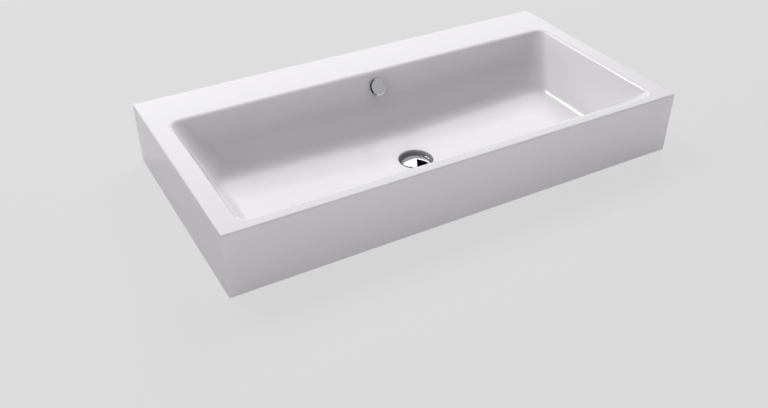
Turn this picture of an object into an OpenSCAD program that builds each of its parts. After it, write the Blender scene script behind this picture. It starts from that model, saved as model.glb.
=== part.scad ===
// Countertop washbasin of enamelled steel with a push-open waste and an overflow set, in millimetres.
// The origin is the middle of the footprint on the countertop. +X is right, +Y the wall, +Z up.

/* [Basin] */
// Width of the basin, left to right
basin_w = 900; // [700:10:1200]
// Depth of the basin, front to wall
basin_d = 460; // [440:5:600]
// Height of the rim above the countertop
basin_h = 120; // [110:1:160]
// Thickness of the enamelled sheet
sheet_t = 2.5; // [2:0.1:3]
// Radius of the upper outer edge
outer_edge_r = 2.5; // [1.5:0.1:2.8]
// Plan radius of the outer corners
corner_r = 3.2; // [3.2:0.1:12]

/* [Bowl] */
// Width of the flat rim at the left and right
rim_side = 31; // [20:1:80]
// Width of the flat rim at the front
rim_front = 18.5; // [14:0.5:60]
// Width of the flat ledge at the back
rim_back = 94.5; // [60:0.5:130]
// Radius of the edge between rim and bowl
rim_edge_r = 7; // [4:0.5:12]
// Lean of the left and right walls from upright, in degrees
side_lean = 26.5; // [12:0.5:32]
// Lean of the front and back walls from upright, in degrees
long_lean = 36.5; // [20:0.5:38]
// Depth of the floor below the rim, at the left and right walls
bowl_drop = 108; // [90:1:118]
// Fall of the floor from the left and right walls to the waste
floor_fall = 2; // [1:0.5:4]
// Radius between floor and side walls
side_cove_r = 21; // [12:1:40]
// Radius between floor and the front and back walls
long_cove_r = 36; // [16:1:44]
// Plan radius of the bowl's corners at the rim
rim_corner_r = 20; // [16:1:50]
// Plan radius of the bowl's corners above the floor
floor_corner_r = 40; // [30:1:60]

/* [Waste recess] */
// Radius of the recess for the waste
recess_r = 33; // [32:0.5:38]
// Depth of the recess below the floor
recess_drop = 17; // [15:0.5:22]
// Radius of the enamelled edge of the recess
recess_lip_r = 2; // [1:0.25:3]
// Radius of the hole that the waste passes through
waste_hole_r = 23; // [22:0.5:26]

/* [Waste] */
// Radial gap between waste cup and recess
cup_gap = 0.5; // [0.3:0.1:1]
// Wall of the waste cup
cup_wall = 1.5; // [1:0.1:2]
// Height of the cup's edge above the cap's seat
cup_lip_h = 3; // [2:0.5:5]
// Thickness of the cup's base
cup_base_t = 2; // [1.5:0.1:3]
// Outer radius of the waste's tail thread, for a 1 1/4 inch pipe thread
tail_r = 20.95; // [20:0.05:21.5]
// Wall of the waste's tail
tail_wall = 3.4; // [2.5:0.1:4]
// Length of the tail below the cup
tail_len = 85; // [80:1:110]
// Number of overflow ports in the tail
port_n = 4; // [3:1:5]
// Width of an overflow port
port_w = 9; // [6:0.5:11]
// Height of an overflow port
port_h = 14; // [8:1:18]
// Thickness of the seal under the cup
cup_seal_t = 2; // [1.5:0.1:3]
// Thickness of the web that carries the cartridge
web_t = 5; // [3:0.5:8]
// Width of a spoke of the web
spoke_w = 3; // [2:0.5:4]

/* [Waste cap] */
// Radial gap between cap and cup
cap_gap = 1.5; // [1:0.1:2.5]
// Height of the cap's edge
cap_edge_h = 3; // [2.5:0.1:4]
// Rise of the cap's dome above its edge
cap_rise = 3.6; // [2:0.1:6]
// Thickness of the cap's sheet
cap_t = 1.8; // [1.2:0.1:2.5]
// Travel of the cap from shut to open
cap_travel = 7; // [5:0.5:7.5]
// Height that the cap's seal stands proud
cap_seal_h = 1.5; // [1:0.1:2]
// Radius of the cap's stud
stud_r = 2.95; // [2:0.05:3]

/* [Cartridge] */
// Outer radius of the cartridge
cartridge_r = 8.5; // [8:0.1:10]
// Wall of the cartridge
cartridge_wall = 1.9; // [1.5:0.1:2.2]
// Height of the cartridge body
cartridge_h = 28; // [27:0.5:29]
// Thickness of the cartridge's base and cover
cartridge_end_t = 2; // [1.5:0.1:2.5]
// Radius of the plunger's shaft
plunger_r = 4.6; // [4.2:0.1:5]
// Radius of the threaded stub under the cartridge
stub_r = 4; // [3:0.1:5]
// Wire radius of the spring
spring_wire_r = 0.45; // [0.3:0.05:0.5]
// Turns of the spring
spring_turns = 4; // [3:1:5]
// Teeth of the ratchet rotor
rotor_teeth = 8; // [6:1:10]

/* [Seals and nut] */
// Thickness of the seal between basin and collar
under_seal_t = 3; // [2:0.5:4]
// Outer radius of the overflow collar
collar_r = 30; // [28.5:0.5:33]
// Height of the overflow collar
collar_h = 32; // [28:1:34]
// Wall of the overflow collar
collar_wall = 3; // [2:0.5:3]
// Thickness of the seal under the collar
collar_seal_t = 2.5; // [2:0.5:4]
// Thickness of the slip washer
slip_t = 1.5; // [1:0.5:2]
// Height of the backnut
nut_h = 10; // [8:1:12]
// Width across the flats of the backnut
nut_flats = 54; // [50:1:58]

/* [Overflow] */
// Depth of the overflow below the rim
overflow_drop = 27; // [25:0.5:36]
// Radius of the hole in the wall
overflow_hole_r = 13; // [12.5:0.5:14]
// Radius of the overflow cap
overflow_cap_r = 17; // [16:0.5:20]
// Thickness of the overflow cap
overflow_cap_t = 3; // [2:0.5:4]
// Gap behind the overflow cap, where water enters
overflow_cap_gap = 3; // [2.5:0.5:5]
// Thickness of the rosette on the enamel
rosette_t = 1.2; // [1:0.1:1.6]
// Radius of the overflow screw's shank
overflow_screw_r = 2.5; // [2:0.1:2.6]
// Thickness of the gasket behind the wall
gasket_t = 2; // [1.5:0.5:3]
// Radius of the elbow's flange
elbow_flange_r = 19.5; // [18.5:0.5:21]
// Radius of the elbow's bend
elbow_bend_r = 18; // [16:1:22]

/* [Overflow hose] */
// Outer radius of the hose spigots
spigot_r = 11; // [10:0.5:11.5]
// Wall of the hose spigots
spigot_wall = 2.5; // [2:0.1:3]
// Length of a hose spigot
spigot_len = 16; // [14:1:20]
// Wall of the hose's smooth cuffs
cuff_wall = 2.1; // [1.5:0.1:2.5]
// Outer radius over the hose's ribs
hose_rib_r = 12.8; // [12.6:0.1:13.5]
// Outer radius between the ribs
hose_root_r = 11.4; // [11.2:0.1:11.8]
// Radius of the hose's bore
hose_bore_r = 9.6; // [9:0.1:9.8]
// Distance from rib to rib
rib_pitch = 5; // [4.5:0.1:8]
// Radius of the hose's bend
hose_bend_r = 57; // [50:1:60]
// Width of a clip band
clip_w = 9; // [7:0.5:12]
// Thickness of a clip band
clip_t = 0.9; // [0.6:0.1:1.2]

/* [Damping pads] */
// Length of a pad, along the width of the basin
pad_l = 200; // [100:10:220]
// Width of a pad
pad_w = 110; // [60:5:120]
// Thickness of a pad
pad_t = 4; // [2:0.5:5]

/* [Hidden] */

$fn = 64;
over = 1;             // how far a cut runs past the face it opens
thread_gap = 0.05;    // radial gap between two screwed pieces
slide_gap = 0.08;     // radial gap of a guided sliding fit
seat_gap = 0.1;       // gap under the shut cap's seal
bore_gap = 0.4;       // radial gap where one piece only passes another
glue_gap = 0.5;       // film of adhesive on a damping pad
stop_gap = 0.2;       // gap left where two pieces stop just short of each other
seal_inset = 1;       // how far a flat seal or washer stays inside the piece that it seals
straight_min = 0.5;   // shortest straight side of a ring of the shell

// Rings of the shell: points on one plan corner, steps of a cove and steps of an edge
corner_n = 8;
cove_n = 7;
edge_n = 5;

// Places of the waste, from the top down
floor_z = basin_h - bowl_drop - floor_fall;
recess_z = floor_z - recess_drop;
floor_flat_w = 12;
flat_r = recess_r + recess_lip_r + floor_flat_w;
under_z = recess_z - sheet_t;
cup_r = recess_r - cup_gap;
cup_in_r = cup_r - cup_wall;
cup_base_z = recess_z + cup_seal_t;
seat_z = cup_base_z + cup_base_t;
throat_r = tail_r - tail_wall;
tail_z = cup_base_z - tail_len;
cap_r = cup_in_r - cap_gap;
cap_low_z = seat_z + cap_seal_h;
cap_edge_z = cap_low_z + cap_edge_h;
cap_groove_d = 1.5;
cap_seal_w = 4;
cap_seal_out_r = cap_r - 2;
cap_seal_in_r = cap_seal_out_r - cap_seal_w;
cap_boss_r = stud_r + 3;
cap_boss_h = 2.5;
boss_z = cap_low_z - cap_boss_h;
stud_l = 10;

// The stack below the basin
collar_top_z = under_z - under_seal_t;
collar_low_z = collar_top_z - collar_h;
collar_bore_r = tail_r + bore_gap;
slip_top_z = collar_low_z - collar_seal_t;
nut_top_z = slip_top_z - slip_t;
nut_low_z = nut_top_z - nut_h;
relief_w = 1.5;
relief_d = 0.5;
ring_out_r = collar_r - seal_inset;
port_drop = 3;
port_z = collar_top_z - collar_wall - port_drop;
collar_axis_z = collar_low_z + collar_wall + spigot_r + over;

// The cartridge stands on the web inside the tail
cartridge_drop = 7;
cartridge_top_z = seat_z - cartridge_drop;
cartridge_z = cartridge_top_z - cartridge_h;
cover_z = cartridge_top_z - cartridge_end_t;
web_hub_r = cartridge_r - 0.5;
bore_r = cartridge_r - cartridge_wall;
cover_spigot_h = 2;
plunger_collar_h = 2.8;
plunger_collar_z = cover_z - cover_spigot_h - stop_gap - cap_travel - plunger_collar_h;
nose_r = plunger_r / 2;
nose_end = 0.5;
tooth_h = 1.2;
tooth_w = 2;
rotor_h = 3;
rotor_gap = 0.35;
rotor_top_z = plunger_collar_z - rotor_gap;
rotor_low_z = rotor_top_z - tooth_h - rotor_h;
rotor_r = bore_r - rotor_gap;
spring_low_z = cartridge_z + cartridge_end_t;
spring_inset = 1;
spring_r = bore_r - spring_inset - spring_wire_r;

// The bowl's walls in a section: how far the rim's rounding runs in, and where the walls meet the rim plane
function rounding_run(lean) = rim_edge_r * (1 - sin(lean)) / cos(lean);
lip_x = basin_w / 2 - rim_side - rounding_run(side_lean);
lip_back = basin_d / 2 - rim_back - rounding_run(long_lean);
lip_front = basin_d / 2 - rim_front - rounding_run(long_lean);
bowl_y = (lip_back - lip_front) / 2;
lip_y = (lip_back + lip_front) / 2;

// The overflow's place on the back wall, and the way its axis leans
overflow_y = lip_back - overflow_drop * tan(long_lean);
overflow_z = basin_h - overflow_drop;
overflow_tilt = 90 - long_lean;
gasket_z = -sheet_t - gasket_t;
mouth_r = overflow_hole_r + 2;
mouth_bore_r = overflow_hole_r - 0.2;
mouth_h = 13;
mouth_base_t = 3;
elbow_flange_t = 3;
elbow_boss_r = 4.5;
elbow_boss_h = 7.5;
elbow_rib_t = 2;
bend_z = gasket_z - elbow_flange_t - mouth_h;
mouth_base_z = bend_z + mouth_base_t;
bead_h = 2;
spigot_bore_r = spigot_r - spigot_wall;
bend_bore_r = spigot_bore_r - 0.3;

// The rosette and its screw, measured from the enamel along the overflow's axis
rosette_rim_w = 3;
sleeve_r = overflow_hole_r - bore_gap;
sleeve_wall = 1.6;
sleeve_l = 8;
hub_r = 5;
hub_l = 6;
rosette_web_w = 2;
rosette_web_h = 3;
screw_head_r = 4;
screw_head_h = overflow_cap_gap - bore_gap;
screw_end_z = mouth_base_z + 1.5;

// End of the elbow's bend, back in the basin's frame
bend_end_v = -elbow_bend_r + elbow_bend_r * cos(overflow_tilt);
bend_end_w = bend_z - elbow_bend_r * sin(overflow_tilt);
bend_end_y = overflow_y + bend_end_v * cos(overflow_tilt) - bend_end_w * sin(overflow_tilt);
bend_end_z = overflow_z + bend_end_v * sin(overflow_tilt) + bend_end_w * cos(overflow_tilt);

// The hose runs down from the elbow, round one bend, and forward into the collar
cuff_r = spigot_r + thread_gap + cuff_wall;
cuff_len = spigot_len + 2;
cuff_lap = 1.5;
collar_spigot_y = bowl_y + collar_r + over;
hose_top_z = bend_end_z - over - cuff_len + cuff_lap;
hose_end_y = collar_spigot_y + cuff_len - cuff_lap;
down_len = hose_top_z - collar_axis_z - hose_bend_r;
arc_len = hose_bend_r * PI / 2;
back_len = bend_end_y - hose_bend_r - hose_end_y;
hose_len = down_len + arc_len + back_len;
hose_sides = 12;
rib_n = floor(hose_len / rib_pitch);

// A clip is a band with a screw housing: the housing's length and height, and its worm screw
clip_r = cuff_r + thread_gap;
clip_box = [10, 7];
clip_screw_r = 2.2;
clip_screw_y = clip_r + clip_box[1] / 2 + 1;
clip_head_r = 3.5;
clip_head_h = 3;
upper_clip_z = bend_end_z - over - spigot_len / 2;
lower_clip_y = collar_spigot_y + spigot_len / 2;

// Offset and height of each step of the bowl's section, from floor to rim, for the face skin below the enamel
function wall_section(lip, lean, cove_r, drop, skin) =
    let (
        cove_u = lip - (cove_r + (drop - cove_r) * sin(lean)) / cos(lean),
        cove_z = cove_r - drop,
        edge_u = lip + rounding_run(lean)
    )
    concat(
        [for (i = [0:cove_n])
            let (f = 90 + (90 - lean) * i / cove_n)
            [cove_u - (cove_r + skin) * cos(f), cove_z - (cove_r + skin) * sin(f)]],
        [for (i = [0:edge_n])
            let (f = 180 - lean - (90 - lean) * i / edge_n)
            [edge_u + (rim_edge_r - skin) * cos(f), (rim_edge_r - skin) * sin(f) - rim_edge_r]]
    );

// One ring of points round a rounded rectangle: side and long are [half size, height] of its pairs of sides
function ring(side, long, mid_y, r) =
    [for (k = [0:3], j = [0:corner_n])
        let (
            a = 90 * k + 90 * j / corner_n,
            sx = (k == 0 || k == 3) ? 1 : -1,
            sy = k < 2 ? 1 : -1,
            w = pow(sin(a), 2)
        )
        [sx * (side[0] - r) + r * cos(a),
         mid_y + sy * (long[0] - r) + r * sin(a),
         basin_h + side[1] * (1 - w) + long[1] * w]];

// The rings of the bowl from the floor to the rim, on the enamel (skin 0) or under it (skin sheet_t)
function bowl_rings(skin) =
    let (
        plain = wall_section(lip_x, side_lean, side_cove_r, bowl_drop, 0),
        side = wall_section(lip_x, side_lean, side_cove_r, bowl_drop, skin),
        long = wall_section(lip_y, long_lean, long_cove_r, bowl_drop + floor_fall, skin)
    )
    [for (i = [0:len(side) - 1])
        let (
            r = i <= cove_n
                ? floor_corner_r - plain[cove_n][0] + plain[i][0]
                : rim_corner_r - plain[cove_n + 1][0] + plain[i][0]
        )
        ring(side[i], long[i], bowl_y, r + skin)];

// A ring of the outer skirt, drawn in by inset at height z below the rim
function skirt_ring(inset, z) =
    ring([basin_w / 2 - inset, z], [basin_d / 2 - inset, z], 0, max(corner_r - inset, straight_min));

// A flat ring round the waste, so that the recess is cut from a level floor
function drain_ring(skin) =
    let (z = -bowl_drop - floor_fall - skin)
    ring([flat_r, z], [flat_r, z], bowl_y, flat_r - straight_min);

function shell_rings() = concat(
    [drain_ring(0)],
    bowl_rings(0),
    [for (i = [0:edge_n])
        let (f = 90 * i / edge_n)
        skirt_ring(outer_edge_r * (1 - sin(f)), outer_edge_r * (cos(f) - 1))],
    [skirt_ring(0, -basin_h - over), skirt_ring(sheet_t, -basin_h - over), skirt_ring(sheet_t, -sheet_t)],
    [for (i = [0:cove_n + edge_n + 1]) bowl_rings(sheet_t)[cove_n + edge_n + 1 - i]],
    [drain_ring(sheet_t)]
);

// A closed solid through rings of equally many points, capped at its ends or looped from last to first
module skin_rings(rings, looped = false) {
    n = len(rings[0]);
    count = len(rings);
    last = count - 1;
    sides = [for (i = [0:looped ? last : last - 1], j = [0:n - 1])
        let (k = (i + 1) % count)
        [i * n + j, i * n + (j + 1) % n, k * n + (j + 1) % n, k * n + j]];
    caps = looped ? [] : [[for (j = [0:n - 1]) n - 1 - j], [for (j = [0:n - 1]) last * n + j]];
    polyhedron([for (one = rings) each one], concat(sides, caps), convexity = 6);
}

module tube(r_out, r_in, low, high) {
    difference() {
        translate([0, 0, low]) cylinder(r = r_out, h = high - low);
        translate([0, 0, low - over]) cylinder(r = r_in, h = high - low + 2 * over);
    }
}

module rod(r, low, high) {
    translate([0, 0, low]) cylinder(r = r, h = high - low);
}

module at_waste() {
    translate([0, bowl_y, 0]) children();
}

module at_overflow() {
    translate([0, overflow_y, overflow_z]) rotate([overflow_tilt, 0, 0]) children();
}

// The rounded edge of the recess, as a cutter turned from an arc
module recess_lip_cutter() {
    steps = 5;
    rotate_extrude() polygon(concat(
        [[recess_r - over, over], [recess_r - over, -recess_lip_r]],
        [for (i = [0:steps])
            let (f = 90 * i / steps)
            [recess_r + recess_lip_r * (1 - cos(f)), recess_lip_r * (sin(f) - 1)]],
        [[recess_r + recess_lip_r, over]]
    ));
}

// Trims the foot of the skirt level, and leaves what lies inside the skirt
module foot_cutter() {
    inset = sheet_t + over;
    difference() {
        translate([-basin_w / 2 - over, -basin_d / 2 - over, -2 * over])
            cube([basin_w + 2 * over, basin_d + 2 * over, 2 * over]);
        translate([-basin_w / 2 + inset, -basin_d / 2 + inset, -3 * over])
            cube([basin_w - 2 * inset, basin_d - 2 * inset, 4 * over]);
    }
}

module basin_shell() {
    color("white") difference() {
        union() {
            difference() {
                skin_rings(shell_rings());
                foot_cutter();
            }
            at_waste() rod(recess_r + sheet_t, under_z, floor_z - sheet_t / 2);
        }
        at_waste() {
            rod(recess_r, recess_z, floor_z + over);
            rod(waste_hole_r, under_z - over, recess_z + over);
            translate([0, 0, floor_z]) recess_lip_cutter();
        }
        at_overflow() rod(overflow_hole_r, -4 * sheet_t, 2 * sheet_t);
    }
}

// A layer that follows the underside of the floor, from the waste out to the walls
module under_floor(gap, thick) {
    top = sheet_t + gap;
    skin_rings([
        drain_ring(top), bowl_rings(top)[0], bowl_rings(top + thick)[0], drain_ring(top + thick)
    ], looped = true);
}

// A pad glued under the floor, on the side where x is positive
module damping_pad() {
    floor_half = bowl_rings(sheet_t)[0][0][0];
    color("dimgray") intersection() {
        under_floor(glue_gap, pad_t);
        translate([(flat_r + floor_half - pad_l) / 2, bowl_y - pad_w / 2, -basin_h])
            cube([pad_l, pad_w, 2 * basin_h]);
    }
}

module damping_pad_left() {
    mirror([1, 0, 0]) damping_pad();
}

module damping_pad_right() {
    damping_pad();
}

// The cup and its tail; a groove parts the backnut's stretch of thread from the trap's
module waste_flange() {
    web_low = cartridge_z - web_t;
    spoke_n = 3;
    color("silver") at_waste() {
        difference() {
            union() {
                rod(cup_r, cup_base_z, seat_z + cup_lip_h);
                rod(tail_r, tail_z, seat_z);
            }
            rod(cup_in_r, seat_z, seat_z + cup_lip_h + over);
            rod(throat_r, tail_z - over, seat_z + over);
            tube(tail_r + over, tail_r - relief_d, nut_low_z - relief_w, nut_low_z);
            for (k = [0:port_n - 1]) rotate([0, 0, 360 * (k + 0.5) / port_n])
                translate([throat_r - over, -port_w / 2, port_z - port_h])
                    cube([tail_wall + 2 * over, port_w, port_h]);
        }
        difference() {
            union() {
                rod(web_hub_r, web_low, cartridge_z);
                for (k = [0:spoke_n - 1]) rotate([0, 0, 360 * k / spoke_n])
                    translate([0, -spoke_w / 2, web_low]) cube([throat_r + tail_wall / 2, spoke_w, web_t]);
            }
            rod(stub_r + thread_gap, web_low - over, cartridge_z + over);
        }
    }
}

module flange_seal() {
    color("black") at_waste() tube(cup_r - seal_inset, tail_r + bore_gap, recess_z, cup_base_z);
}

// The cap's outline: a shallow dome that ends in a rounded edge
module waste_cap() {
    edge_round = 1;
    groove_wall = 1.5;
    steps = 9;
    edge_steps = 4;
    crown_z = cap_edge_z + cap_rise;
    rim_r = cap_r - edge_round;
    hollow_r = cap_seal_in_r - groove_wall;
    dome_r = (rim_r * rim_r + cap_rise * cap_rise) / (2 * cap_rise);
    function dome_z(x, deep) = crown_z - dome_r + sqrt(pow(dome_r - deep, 2) - x * x);
    color("gainsboro") at_waste() difference() {
        union() {
            rotate_extrude() polygon(concat(
                [[0, cap_low_z]],
                [for (i = [0:steps]) [rim_r * i / steps, dome_z(rim_r * i / steps, 0)]],
                [for (i = [1:edge_steps])
                    let (f = 90 - 90 * i / edge_steps)
                    [rim_r + edge_round * cos(f), cap_edge_z + edge_round * (sin(f) - 1)]],
                [[cap_r, cap_low_z]]
            ));
            rod(cap_boss_r, boss_z, cap_low_z + over);
        }
        rotate_extrude() polygon(concat(
            [[cap_boss_r, cap_low_z - over], [hollow_r, cap_low_z - over]],
            [for (i = [steps:-1:0])
                let (x = cap_boss_r + (hollow_r - cap_boss_r) * i / steps)
                [x, dome_z(x, cap_t)]]
        ));
        tube(cap_seal_out_r, cap_seal_in_r, cap_low_z - over, cap_low_z + cap_groove_d);
        rod(stud_r + thread_gap, boss_z - over, crown_z - cap_t);
    }
}

module cap_seal() {
    top = cap_low_z + cap_groove_d;
    color("black") at_waste()
        tube(cap_seal_out_r - thread_gap, cap_seal_in_r + thread_gap, seat_z + seat_gap, top);
}

module cap_stud() {
    color("goldenrod") at_waste()
        rod(stud_r, boss_z - stud_l, cap_edge_z + cap_rise - cap_t - stop_gap);
}

module cartridge_plunger() {
    collar_top = plunger_collar_z + plunger_collar_h;
    color("whitesmoke") at_waste() difference() {
        union() {
            rod(plunger_r, collar_top - over, boss_z);
            rod(bore_r - slide_gap, plunger_collar_z, collar_top);
            rod(nose_r, rotor_low_z - nose_end, plunger_collar_z + over);
        }
        rod(stud_r + thread_gap, boss_z - stud_l - over, boss_z + over);
    }
}

module cartridge_rotor() {
    tooth_in_r = nose_r + 1.2;
    tooth_out_r = rotor_r - 0.6;
    root = 0.2;
    color("lightgray") at_waste() {
        tube(rotor_r, nose_r + slide_gap, rotor_low_z, rotor_low_z + rotor_h);
        for (k = [0:rotor_teeth - 1]) rotate([0, 0, 360 * k / rotor_teeth])
            translate([tooth_in_r, -tooth_w / 2, rotor_low_z + rotor_h - root]) rotate([90, 0, 90])
                linear_extrude(tooth_out_r - tooth_in_r)
                    polygon([[0, 0], [tooth_w, 0], [tooth_w, tooth_h + root]]);
    }
}

module cartridge_spring() {
    wire_sides = 6;
    steps = 14;
    low = spring_low_z + spring_wire_r;
    rise = rotor_low_z - stop_gap - spring_wire_r - low;
    color("silver") at_waste() skin_rings(
        [for (i = [0:spring_turns * steps])
            let (a = 360 * i / steps, z = low + rise * i / (spring_turns * steps))
            [for (j = [0:wire_sides - 1])
                let (u = 360 * j / wire_sides, r = spring_r + spring_wire_r * cos(u))
                [r * cos(a), r * sin(a), z + spring_wire_r * sin(u)]]]
    );
}

module cartridge_body() {
    color("whitesmoke") at_waste() {
        difference() {
            rod(cartridge_r, cartridge_z, cover_z);
            rod(bore_r, spring_low_z, cartridge_top_z);
        }
        rod(stub_r, cartridge_z - web_t - over, cartridge_z + over);
    }
}

module cartridge_cover() {
    color("lightgray") at_waste() difference() {
        union() {
            rod(cartridge_r, cover_z, cartridge_top_z);
            rod(bore_r - thread_gap, cover_z - cover_spigot_h, cover_z + over);
        }
        rod(plunger_r + slide_gap, cover_z - cover_spigot_h - over, cartridge_top_z + over);
    }
}

module underside_seal() {
    color("black") at_waste() tube(ring_out_r, collar_bore_r, collar_top_z, under_z);
}

module overflow_collar() {
    chamber_low = collar_low_z + collar_wall;
    chamber_top = collar_top_z - collar_wall;
    spigot_end = collar_spigot_y + spigot_len - bowl_y;
    color("whitesmoke") at_waste() difference() {
        union() {
            rod(collar_r, collar_low_z, collar_top_z);
            translate([0, 0, collar_axis_z]) rotate([-90, 0, 0]) rod(spigot_r, 0, spigot_end);
        }
        rod(collar_r - collar_wall, chamber_low, chamber_top);
        rod(collar_bore_r, collar_low_z - over, collar_top_z + over);
        translate([0, 0, collar_axis_z]) rotate([-90, 0, 0]) rod(spigot_bore_r, 0, spigot_end + over);
    }
}

module collar_seal() {
    color("black") at_waste() tube(ring_out_r, collar_bore_r, slip_top_z, collar_low_z);
}

module slip_washer() {
    color("lightgray") at_waste() tube(ring_out_r - seal_inset, collar_bore_r, nut_top_z, slip_top_z);
}

module backnut() {
    face_h = 2;
    color("goldenrod") at_waste() difference() {
        union() {
            translate([0, 0, nut_low_z]) cylinder(r = nut_flats / sqrt(3), h = nut_h - face_h, $fn = 6);
            rod(nut_flats / 2, nut_low_z + over, nut_top_z);
        }
        rod(tail_r + thread_gap, nut_low_z - over, nut_top_z + over);
    }
}

module overflow_cap() {
    edge_round = 0.8;
    edge_steps = 4;
    top = overflow_cap_gap + overflow_cap_t;
    snap_r = hub_r + thread_gap;
    snap_wall = 1.2;
    color("gainsboro") at_overflow() {
        rotate_extrude() polygon(concat(
            [[0, overflow_cap_gap], [overflow_cap_r, overflow_cap_gap]],
            [for (i = [0:edge_steps])
                let (f = 90 * i / edge_steps)
                [overflow_cap_r + edge_round * (cos(f) - 1), top + edge_round * (sin(f) - 1)]],
            [[0, top]]
        ));
        tube(snap_r + snap_wall, snap_r, rosette_t + stop_gap, overflow_cap_gap + over / 2);
    }
}

module overflow_rosette() {
    web_n = 4;
    color("silver") at_overflow() difference() {
        union() {
            tube(overflow_hole_r + rosette_rim_w, sleeve_r - sleeve_wall, 0, rosette_t);
            tube(sleeve_r, sleeve_r - sleeve_wall, -sleeve_l, rosette_t);
            rod(hub_r, -hub_l, overflow_cap_gap);
            for (k = [0:web_n - 1]) rotate([0, 0, 360 * (k + 0.5) / web_n])
                translate([0, -rosette_web_w / 2, rosette_t - rosette_web_h])
                    cube([sleeve_r - sleeve_wall / 2, rosette_web_w, rosette_web_h]);
        }
        rod(overflow_screw_r + bore_gap, -hub_l - over, overflow_cap_gap);
        rod(screw_head_r + slide_gap, 0, overflow_cap_gap + over);
    }
}

module overflow_screw() {
    color("silver") at_overflow() {
        rod(screw_head_r, 0, screw_head_h);
        rod(overflow_screw_r, screw_end_z, over);
    }
}

module overflow_gasket() {
    color("black") at_overflow() tube(elbow_flange_r, overflow_hole_r + bore_gap, gasket_z, -sheet_t);
}

// Ribs that carry the screw boss across the elbow's mouth
module elbow_ribs(length, low, high) {
    rib_count = 3;
    for (k = [0:rib_count - 1]) rotate([0, 0, 360 * k / rib_count + 90])
        translate([0, -elbow_rib_t / 2, low]) cube([length, elbow_rib_t, high - low]);
}

module overflow_elbow() {
    color("whitesmoke") difference() {
        union() {
            at_overflow() {
                rod(elbow_flange_r, gasket_z - elbow_flange_t, gasket_z);
                rod(mouth_r, bend_z - over, gasket_z - over);
                elbow_bend(spigot_r);
            }
            translate([0, bend_end_y, bend_end_z]) {
                rod(spigot_r, -spigot_len, 0);
                rod(spigot_r + bead_h, -over, over);
            }
        }
        at_overflow() {
            difference() {
                rod(mouth_bore_r, mouth_base_z, gasket_z + over);
                rod(elbow_boss_r, mouth_base_z - over, mouth_base_z + elbow_boss_h);
                elbow_ribs(mouth_bore_r + over, mouth_base_z - over, mouth_base_z + elbow_boss_h / 2);
            }
            difference() {
                rod(spigot_bore_r, bend_z, mouth_base_z + over / 2);
                rod(elbow_boss_r, bend_z - over, mouth_base_z + over);
                elbow_ribs(mouth_bore_r, bend_z - over, mouth_base_z + over);
            }
            rod(overflow_screw_r + thread_gap, screw_end_z - over, mouth_base_z + elbow_boss_h + over);
            elbow_bend(bend_bore_r);
        }
        translate([0, bend_end_y, bend_end_z]) rod(spigot_bore_r, -spigot_len - over, over / 2);
    }
}

// The elbow's bend, from straight behind the wall to straight down
module elbow_bend(r) {
    translate([0, -elbow_bend_r, bend_z]) rotate([0, -90, 0]) rotate([0, 0, 90])
        rotate_extrude(angle = overflow_tilt) translate([elbow_bend_r, 0]) circle(r = r);
}

// A ring of the hose at distance s along its middle line
function hose_ring(s, r) =
    let (
        t = min(max(s - down_len, 0) / hose_bend_r * 180 / PI, 90),
        y = bend_end_y - hose_bend_r + hose_bend_r * cos(t) - max(s - down_len - arc_len, 0),
        z = hose_top_z - min(s, down_len) - hose_bend_r * sin(t)
    )
    [for (j = [0:hose_sides - 1])
        let (u = 360 * (j + 0.5) / hose_sides)
        [r * cos(u), y + r * sin(u) * cos(t), z - r * sin(u) * sin(t)]];

module overflow_hose() {
    pitch = hose_len / rib_n;
    color("gray") {
        skin_rings(concat(
            [for (i = [0:2 * rib_n]) hose_ring(i * pitch / 2, i % 2 == 0 ? hose_root_r : hose_rib_r)],
            [for (i = [0:rib_n]) hose_ring((rib_n - i) * pitch, hose_bore_r)]
        ), looped = true);
        translate([0, bend_end_y, hose_top_z - cuff_lap])
            tube(cuff_r, spigot_r + thread_gap, 0, cuff_len);
        translate([0, collar_spigot_y, collar_axis_z]) rotate([-90, 0, 0])
            tube(cuff_r, spigot_r + thread_gap, 0, cuff_len);
    }
}

module hose_clip() {
    color("silver") difference() {
        union() {
            rod(clip_r + clip_t, -clip_w / 2, clip_w / 2);
            translate([-clip_box[0] / 2, clip_r, -clip_w / 2]) cube([clip_box[0], clip_box[1], clip_w]);
        }
        rod(clip_r, -clip_w, clip_w);
        translate([0, clip_screw_y, 0]) rotate([0, 90, 0])
            rod(clip_screw_r + thread_gap, -clip_box[0], clip_box[0]);
    }
}

module clip_screw() {
    box_end = clip_box[0] / 2;
    translate([0, clip_screw_y, 0]) rotate([0, 90, 0]) {
        rod(clip_screw_r, -box_end - over, box_end + over);
        rod(clip_head_r, box_end + thread_gap, box_end + clip_head_h);
    }
}

module at_upper_clip() {
    translate([0, bend_end_y, upper_clip_z]) children();
}

module at_lower_clip() {
    translate([0, lower_clip_y, collar_axis_z]) rotate([-90, 0, 0]) children();
}

module upper_hose_clip() {
    at_upper_clip() hose_clip();
}

module lower_hose_clip() {
    at_lower_clip() hose_clip();
}

module clip_screws() {
    color("darkgray") {
        at_upper_clip() clip_screw();
        at_lower_clip() clip_screw();
    }
}

basin_shell();
damping_pad_left();
damping_pad_right();
waste_flange();
flange_seal();
waste_cap();
cap_seal();
cap_stud();
cartridge_plunger();
cartridge_rotor();
cartridge_spring();
cartridge_body();
cartridge_cover();
underside_seal();
overflow_collar();
collar_seal();
slip_washer();
backnut();
overflow_cap();
overflow_rosette();
overflow_screw();
overflow_gasket();
overflow_elbow();
overflow_hose();
upper_hose_clip();
lower_hose_clip();
clip_screws();
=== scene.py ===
import math

import bmesh
import bpy
from mathutils import Matrix, Vector
from mathutils.bvhtree import BVHTree


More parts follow.
